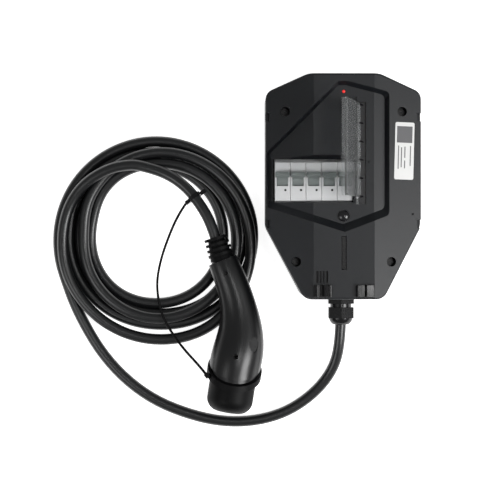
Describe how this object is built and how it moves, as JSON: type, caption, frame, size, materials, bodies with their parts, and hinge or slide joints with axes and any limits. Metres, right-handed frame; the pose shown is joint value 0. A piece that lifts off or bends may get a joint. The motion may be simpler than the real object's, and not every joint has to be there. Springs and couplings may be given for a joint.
{
  "type": "ev wallbox",
  "caption": "Wall-mounted charging point for electric cars, lying on its back: angular housing, breakers behind an open clear door, and a coiled cable with a capped charging connector.",
  "frame": {"origin": "centre of the housing's back face, which lies against the wall", "axes": "+X right and +Y up as seen from the front, +Z out of the wall towards the front"},
  "size_m": [0.4333, 0.4153, 0.182],
  "materials": {
    "housing_dark": "fine matt texture",
    "seal_rubber": "dull",
    "screw_steel": "zinc plated",
    "screw_black": "black oxide",
    "bracket_black": "satin",
    "clip_gloss": "gloss",
    "label_white": "printed film",
    "lens_dark": "gloss",
    "led_red": "translucent",
    "board_green": "solder mask",
    "button_black": "gloss",
    "spring_steel": "drawn",
    "rail_steel": "galvanised",
    "module_grey": "satin",
    "toggle_grey": "satin",
    "door_clear": "clear polycarbonate, not glass",
    "gland_black": "satin",
    "cable_black": "smooth jacket",
    "connector_black": "fine texture",
    "connector_face": "satin",
    "contact_brass": "silver plated",
    "cap_rubber": "dull",
    "case_white": "satin",
    "case_black": "satin",
    "wire_black": "satin"
  },
  "bodies": {
    "wallbox": {"rear_shell": "housing_dark", "front_cover": "housing_dark", "cover_gasket": "seal_rubber", "cover_screws": "screw_black", "clip_left": "clip_gloss", "clip_right": "clip_gloss", "rating_label": "label_white", "status_lens": "lens_dark", "status_led": "led_red", "led_board": "board_green", "button_board": "board_green", "button_switch": "case_black", "button_spring": "spring_steel", "din_rail": "rail_steel", "breaker_pole_1": "module_grey", "breaker_pole_2": "module_grey", "breaker_pole_3": "module_grey", "breaker_pole_4": "module_grey", "residual_module": "module_grey", "contact_flags": "case_black", "hinge_bracket": "bracket_black", "hinge_pin": "screw_steel", "gland_body": "gland_black", "gland_locknut": "gland_black", "gland_nut": "gland_black", "gland_seal": "seal_rubber", "supply_grommet": "seal_rubber", "control_board": "board_green", "power_supply": "case_white", "contactor": "case_black", "terminal_block": "case_white", "leakage_sensor": "case_black", "internal_wires": "wire_black", "cable_tail": "cable_black", "cable_lead": "cable_black", "cable_coil": "cable_black", "connector_upper_shell": "connector_black", "connector_lower_shell": "connector_black", "connector_screws": "screw_black", "connector_nose": "connector_face", "contact_sleeves": "contact_brass", "strain_boot": "cap_rubber", "cable_tie": "clip_gloss", "cap_tether": "cap_rubber"},
    "door": {"clear_door": "door_clear"},
    "main_toggle": {"breaker_toggle_1": "toggle_grey", "breaker_toggle_2": "toggle_grey", "breaker_toggle_3": "toggle_grey", "breaker_toggle_4": "toggle_grey", "toggle_shaft": "screw_steel"},
    "single_toggle": {"residual_toggle": "toggle_grey"},
    "button": {"push_button": "button_black"},
    "cap": {"dust_cap": "cap_rubber"}
  },
  "joints": [
    {"name": "door_hinge", "type": "hinge", "parent": "wallbox", "child": "door", "pos_m": [0.0153, 0.04105, 0.0885], "axis": [0, 1, 0], "range_deg": [-77.3, 18]},
    {"name": "main_toggle_turn", "type": "hinge", "parent": "wallbox", "child": "main_toggle", "pos_m": [-0.04345, 0.0078, 0.0675], "axis": [1, 0, 0], "range_deg": [0, 50]},
    {"name": "single_toggle_turn", "type": "hinge", "parent": "wallbox", "child": "single_toggle", "pos_m": [0.00155, 0.0078, 0.0675], "axis": [1, 0, 0], "range_deg": [0, 50]},
    {"name": "button_press", "type": "slide", "parent": "wallbox", "child": "button", "axis": [0, 0, -1], "range_m": [0, 0.0015], "stiffness_N_per_m": 300, "springref_m": -0.001, "deforming": ["button_spring"]},
    {"name": "cap_pull", "type": "slide", "parent": "wallbox", "child": "cap", "axis": [-0.1564, -0.9877, 0], "range_m": [0, 0.06]}
  ]
}
